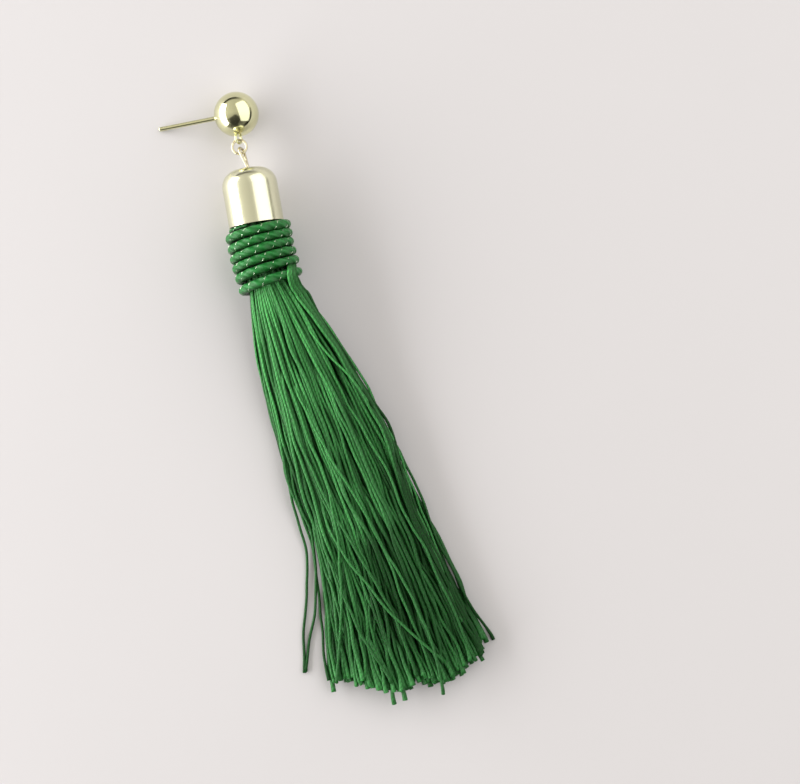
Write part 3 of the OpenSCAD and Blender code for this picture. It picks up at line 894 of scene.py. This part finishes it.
def thread_tones(fan, rng, sizes, x, z):
    """How light each thread is: its own tone, less by painted shade where others cover it, on its far side,
    in the hollows and inside the cord, more by painted light on the ridges, and falling off by painted shade
    towards its end.
    """
    # Painted shade: how far each thread lies under others on both of its sides
    aside = (x[None, :, :] - x[:, None, :]) / MM
    above = np.clip((z[None, :, :] - z[:, None, :]) / MM - COVER_FROM, 0, COVER_MOST)
    sides = [np.abs(aside + shift) / COVER_REACH for shift in (-COVER_ASIDE, COVER_ASIDE)]
    covers = [(above * unit(1 - reach)).max(1) for reach in sides]
    sunk = DARK_BOTH * np.minimum(*covers) + DARK_ONE * np.maximum(*covers)
    sunk += DARK_LOW * low_ones(sizes) * fan.clear
    lock = np.repeat(rng.normal(0, LOCK_TONES, sizes.locks), sizes.threads_in_lock)[:, None]
    own = rng.normal(0, OWN_TONES, (len(x), 1))
    # Painted shade on the tassel's side away from the light
    side = np.clip((x - fan.middle) / fan.half, -1, 1)
    even = 1 - 0.9 * fan.free
    tone = fading(fan.free) - DARK_FAR * np.clip(side, -0.3, 1) * fan.free + (lock + own - sunk) * even
    # Painted shade in the hollows, and painted light on the ridges
    for depth, width, *line in HOLLOWS:
        line_x, line_y = np.array(line) * MM
        centre = np.interp(-fan.stations, -line_y, line_x)
        within = unit((line_y[0] + HOLLOW_UPPER[0] - fan.stations) / HOLLOW_UPPER[1])
        within = within * unit((fan.stations - line_y[-1] + HOLLOW_LOWER[0]) / HOLLOW_LOWER[1])
        tone = tone - depth * within * np.exp(-((x - centre) / (width * MM)) ** 2)
    # Painted shade inside the cord and the cap
    tone[:, :fan.k_free] = np.minimum(tone[:, :fan.k_free], INSIDE_TONE)
    return unit(tone)


def cut_ends(rng, sizes, stations, x):
    """Where each thread ends. The threads were cut roughly on one line."""
    at_line = np.array([np.interp(-CUT_LINE, -stations, row) for row in x])
    ends = np.interp(at_line / MM, *END_LINE) * MM + rng.normal(0, 0.5, len(x)) * sizes.ragged
    for place, extra in LONG_ENDS:
        nearest = np.argmin(np.abs(at_line - place * MM))
        ends[nearest] = np.interp(place, *END_LINE) * MM - extra * MM
    return np.maximum(ends, stations[-1])


def opened_radius(path, radius, first_y):
    """Radius along a thread, whose plies loosen towards its end and open where it is cut."""
    loosened = 1 + LOOSENED * unit((first_y - path[:, 1]) / FAN_END)
    to_end = np.linalg.norm(path - path[-1], axis=1)
    return radius * loosened * (1 + OPEN_END * unit(1 - to_end / OPEN_LEN))


def resting_height(fan, across, y, x, z, radius):
    """Height of a thread that lies on the others, or on the floor beside them."""
    carried = np.full(len(y), radius)
    for other in range(len(x)):
        other_x = np.interp(-y, -fan.stations, x[other])
        other_z = np.interp(-y, -fan.stations, z[other])
        gap = np.clip(4 * radius ** 2 - (across - other_x) ** 2, 0, None)
        carried = np.where(gap > 0, np.maximum(carried, other_z + np.sqrt(gap)), carried)
    return carried


def loose_threads(fan, rng, x, z, radius):
    """Threads laid over the others along listed lines, each resting on what lies under it. Each one runs
    inside the bundle down to its first point."""
    paths, tones = [], []
    first_y = fan.stations[fan.k_free - 1]
    middle = fan.middle[0, fan.k_free]
    half = fan.half[0, fan.k_free]
    for light, *line in LOOSE_THREADS:
        line_x, line_y = np.array(line) * MM
        y = np.r_[np.arange(first_y, line_y[-1] + LAST_STEP, -RING_STEP), line_y[-1]]
        start_x = middle + np.clip((line_x[0] - middle) / (3 * half), -0.8, 0.8) * half
        across = smooth(np.interp(-y, -np.r_[y[0], line_y], np.r_[start_x, line_x]), 60)
        moving = unit((y[0] - y) / START_STILL) * unit((y - y[-1]) / END_STILL)
        across += stray(rng, len(y), *LOOSE_KINKS) * moving
        carried = resting_height(fan, across, y, x, z, radius)
        shown = unit((line_y[0] + 4 * MM - y) / (5 * MM))
        carried *= 1 - 0.55 * (1 - shown)
        paths.append(np.stack([across, y, spanning(carried)], -1))
        # Painted light that falls off down the thread, and how much lighter the thread is
        tones.append(unit(fading(unit((y[0] - y) / FAN_END)) + light))
    return paths, tones


def lapped_lock(fan, rng, x, z, radius):
    """A lock that comes out between the last two turns of the cord and laps over the last."""
    paths, tones = [], []
    line_x, line_y = np.array(LAPPED_LINE) * MM
    for number in range(LAPPED_COUNT):
        end = line_y[-1] - rng.uniform() * LAPPED_ENDS
        over_cord = np.arange(line_y[0], line_y[0] - LAPPED_FINE, -CORD_RING_STEP)
        y = np.r_[over_cord, np.arange(over_cord[-1] - RING_STEP, end, -RING_STEP), end]
        along = RIM_Y - y
        side = number - (LAPPED_COUNT - 1) / 2
        offset = side * radius * np.interp(along / MM, *LAPPED_SPREAD)
        across = smooth(np.interp(-y, -line_y, line_x), 4) + offset
        across += stray(rng, len(y), *LAPPED_KINKS) * unit((y[0] - y) / START_STILL)
        out = np.interp(along / MM, *LAPPED_HEIGHT) * MM
        beside = across - bundle_point(along, 0 * along, 0 * along)[:, 0]
        over = AXIS_Z + np.sqrt(np.clip(out ** 2 - beside ** 2, (0.3 * MM) ** 2, None))
        over += LAPPED_HUMP * (2 - abs(side)) * unit((along - LAPPED_OUT) / MM)
        carried = resting_height(fan, across, y, x, z, radius)
        on_cord = along < LAPPED_HEIGHT[0][-1] * MM
        paths.append(np.stack([across, y, spanning(np.where(on_cord, over, carried))], -1))
        t = unit((y[0] - y) / FAN_END)
        # Painted shade where it comes out from between the turns and where it slips under the others
        shown = np.clip((along - LAPPED_OUT) / MM + 0.3, 0.3, 1)
        before, more, start, within = LAPPED_UNDER
        under = before * t + more * unit((t - start) / within)
        shade = LAPPED_SHADE * (number % 2) + LAPPED_STEP * number
        tones.append((fading(t) - shade - under) * shown)
    return paths, tones


def curve_through(places, values, wanted):
    """Smooth curve through values at rising, even places."""
    step = places[1] - places[0]
    slope = np.gradient(values, step)
    k = np.clip(((wanted - places[0]) / step).astype(int), 0, len(places) - 2)
    t = (wanted - places[k]) / step
    a, b = values[k], values[k + 1]
    blend = 3 * t * t - 2 * t ** 3
    return a + (b - a) * blend + step * (
        slope[k] * (t ** 3 - 2 * t * t + t) + slope[k + 1] * (t ** 3 - t * t)
    )


class EARRING_OT_threads(bpy.types.Operator):
    """Lays the tassel's threads into the form of its solid"""

    bl_idname = "earring.threads"
    bl_label = "Lay the threads"

    def execute(self, context):
        sizes = context.scene.earring_threads
        rng = np.random.default_rng(sizes.seed)
        radius = sizes.diameter / 2
        stations = RIM_Y + HEAD_LEN - np.arange(0, HEAD_LEN + WRAP_LEN + FAN_END + 3 * MM, STATION_STEP)
        fan = Fan(stations)
        x, z = settled_threads(fan, rng, sizes)
        tone = thread_tones(fan, rng, sizes, x, z)
        ends = cut_ends(rng, sizes, stations, x)

        paths, tones = loose_threads(fan, rng, x, z, radius)
        thickness = [radius * LOOSE_SHARE] * len(paths)
        lapped, lapped_tones = lapped_lock(fan, rng, x, z, radius)
        paths += lapped
        tones += lapped_tones
        thickness += [radius] * len(lapped)
        thickness += list(radius * rng.uniform(*THICKNESS, len(x)))
        first_y = stations[fan.k_free]
        ring_y = np.r_[stations[:fan.k_free:2], np.arange(first_y, stations[-1], -RING_STEP)]
        for i in range(len(x)):
            y = np.r_[ring_y[ring_y > ends[i] + LAST_STEP], ends[i]]
            across = curve_through(-stations, x[i], -y)
            paths.append(np.stack([across, y, curve_through(-stations, z[i], -y)], -1))
            # Painted light on the cut ends
            at_end = unit(1 - (y - ends[i]) / END_LIGHT_LEN)
            tones.append(np.interp(-y, -stations, tone[i]) + END_LIGHT * at_end)
        radii = [opened_radius(path, thick, first_y) for path, thick in zip(paths, thickness)]
        for path, reach in zip(paths, radii):
            # None dips into the floor
            path[:, 2] = np.maximum(path[:, 2], reach)
        build_threads(paths, radii, tones, sizes)
        return {"FINISHED"}


FLOOR_SIZE = 4.0
# The camera's place across and along, and the nearest that it sees
CAMERA_X = 13.85 * MM
CAMERA_Y = -1.68 * MM
NEAR_CLIP = 10 * MM
# Light panels: name, place and size in millimetres, and radiance
PANELS = (
    ("left_panel", (-470, 60, 150), (980, 320), 5.5),
    ("right_panel", (365, 60, 350), (1160, 600), 1.2),
)
# The room that the metal mirrors, and what the camera sees of it: colour and light
ROOM_COLOUR = "#fdf8ed"
ROOM_LIGHT = 0.68
LOW_LIGHT = 0.8
SEEN_COLOUR = "#fdfbf8"
SEEN_LIGHT = 0.85
# Where the room is dark low down, the dark patch in front, and that one's half sizes
DARK_WAYS = ((-0.35, 0.94, 0.0), (0.87, -0.50, 0.0))
FRONT_WAY = (-0.17, -0.60, 0.78)
FRONT_SIZE = (0.58, 0.40, 0.8)
# Start, end and share of the light at either: towards a dark way, from the patch's middle out,
# and along the room and across it
DARK_FALL = (0.6, 0.9, 1.0, 0.08)
FRONT_FALL = (1.55, 1.85, 0.2, 1.0)
SIDE_FALLS = {"Y": (-0.7, 0.1, 0.35, 1.0), "X": (-0.9, 0.0, 1.4, 1.0)}


def hang_panel(name, place, size, radiance):
    """A soft white light panel that faces the earring, its place and size in millimetres."""
    data = bpy.data.lights.new(name, "AREA")
    data.shape = "RECTANGLE"
    data.size, data.size_y = size[0] * MM, size[1] * MM
    data.energy = radiance * math.pi * data.size * data.size_y
    lamp = bpy.data.objects.new(name, data)
    lamp.location = Vector(place) * MM
    lamp.rotation_mode = "QUATERNION"
    lamp.rotation_quaternion = Vector(place).to_track_quat("Z", "Y")
    lamp.visible_camera = False
    bpy.context.scene.collection.objects.link(lamp)


def furnish_room(scene):
    """A dim ceiling that is dark low down in two directions, with a dark patch in front, and
    plain and pale where the camera sees it."""
    scene.world = bpy.data.worlds.new("studio")
    scene.world.use_nodes = True
    tree = scene.world.node_tree
    tree.nodes.clear()
    way = add(tree, "TexCoord", out="Generated")
    low_light = LOW_LIGHT
    for dark_way in DARK_WAYS:
        facing = add(tree, "VectorMath", {0: way, 1: dark_way}, "Value", operation="DOT_PRODUCT")
        lobe = add(tree, "MapRange", {"Value": facing, **spans(*DARK_FALL)})
        low_light = add(tree, "Math", {0: low_light, 1: lobe}, operation="MULTIPLY")
    height = add(tree, "SeparateXYZ", {0: way}, "Z")
    lit = add(tree, "MapRange", {"Value": height, **spans(0.18, 0.3, low_light, ROOM_LIGHT)})
    offset = add(tree, "VectorMath", {0: way, 1: FRONT_WAY}, operation="SUBTRACT")
    shares = add(tree, "VectorMath", {0: offset, 1: FRONT_SIZE}, operation="DIVIDE")
    far = add(tree, "VectorMath", {0: shares}, "Value", operation="LENGTH")
    # The patch has an uneven edge
    uneven = add(tree, "TexNoise", {"Vector": way, "Scale": 3.0, "Detail": 2.0})
    edge = add(tree, "Math", {0: uneven, 1: 1.4, 2: far}, operation="MULTIPLY_ADD")
    shades = [add(tree, "MapRange", {"Value": edge, **spans(*FRONT_FALL)})]
    for axis, fall in SIDE_FALLS.items():
        part = add(tree, "SeparateXYZ", {0: way}, axis)
        shades.append(add(tree, "MapRange", {"Value": part, **spans(*fall)}))
    for shade in shades:
        lit = add(tree, "Math", {0: lit, 1: shade}, operation="MULTIPLY")
    seen = add(tree, "LightPath", out="Is Camera Ray")
    colours = {0: seen, 6: linear(ROOM_COLOUR), 7: linear(SEEN_COLOUR)}
    sky = {
        "Color": add(tree, "Mix", colours, 2, data_type="RGBA"),
        "Strength": add(tree, "Mix", {0: seen, 2: lit, 3: SEEN_LIGHT}),
    }
    add(tree, "OutputWorld", {"Surface": add(tree, "Background", sky)})


class EARRING_OT_studio(bpy.types.Operator):
    """Sets up the floor, the soft light and the camera"""

    bl_idname = "earring.studio"
    bl_label = "Set up the studio"

    def execute(self, context):
        looks = context.scene.earring_studio
        bpy.ops.object.select_all(action="DESELECT")
        bpy.ops.mesh.primitive_plane_add(size=FLOOR_SIZE)
        floor = context.object
        floor.name = "floor"
        floor.data.materials.append(pale_board("satin_board", looks.floor_colour))
        furnish_room(context.scene)
        for panel in PANELS:
            hang_panel(*panel)
        camera = bpy.data.objects.new("camera", bpy.data.cameras.new("camera"))
        context.scene.collection.objects.link(camera)
        camera.location = (CAMERA_X, CAMERA_Y, looks.camera_height)
        camera.rotation_euler = (0, 0, looks.camera_turn)
        camera.data.lens = looks.lens
        camera.data.clip_start = NEAR_CLIP
        context.scene.camera = camera
        context.scene.view_settings.view_transform = "Standard"
        return {"FINISHED"}


class EARRING_PT_panel(bpy.types.Panel):
    """Sidebar panel with the earring's sizes and steps"""

    bl_idname = "EARRING_PT_panel"
    bl_label = "Tassel earring"
    bl_space_type = "VIEW_3D"
    bl_region_type = "UI"
    bl_category = "Earring"

    def draw(self, context):
        for group, operator in zip(GROUPS, OPERATORS):
            settings = getattr(context.scene, group)
            for name in settings.__annotations__:
                self.layout.prop(settings, name)
            self.layout.operator(operator.bl_idname)


GROUPS = {
    "earring_studio": StudioSettings,
    "earring_metal": MetalSettings,
    "earring_cord": CordSettings,
    "earring_threads": ThreadSettings,
}
OPERATORS = (EARRING_OT_studio, EARRING_OT_metal, EARRING_OT_wound_cord, EARRING_OT_threads)
CLASSES = (*GROUPS.values(), *OPERATORS, EARRING_PT_panel)


def register():
    for cls in CLASSES:
        bpy.utils.register_class(cls)
    for name, group in GROUPS.items():
        setattr(bpy.types.Scene, name, PointerProperty(type=group))


def unregister():
    for name in GROUPS:
        delattr(bpy.types.Scene, name)
    for cls in reversed(CLASSES):
        bpy.utils.unregister_class(cls)


def main():
    register()
    bpy.ops.earring.studio()
    bpy.ops.earring.metal()
    bpy.ops.earring.wound_cord()
    bpy.ops.earring.threads()


if __name__ == "__main__":
    main()
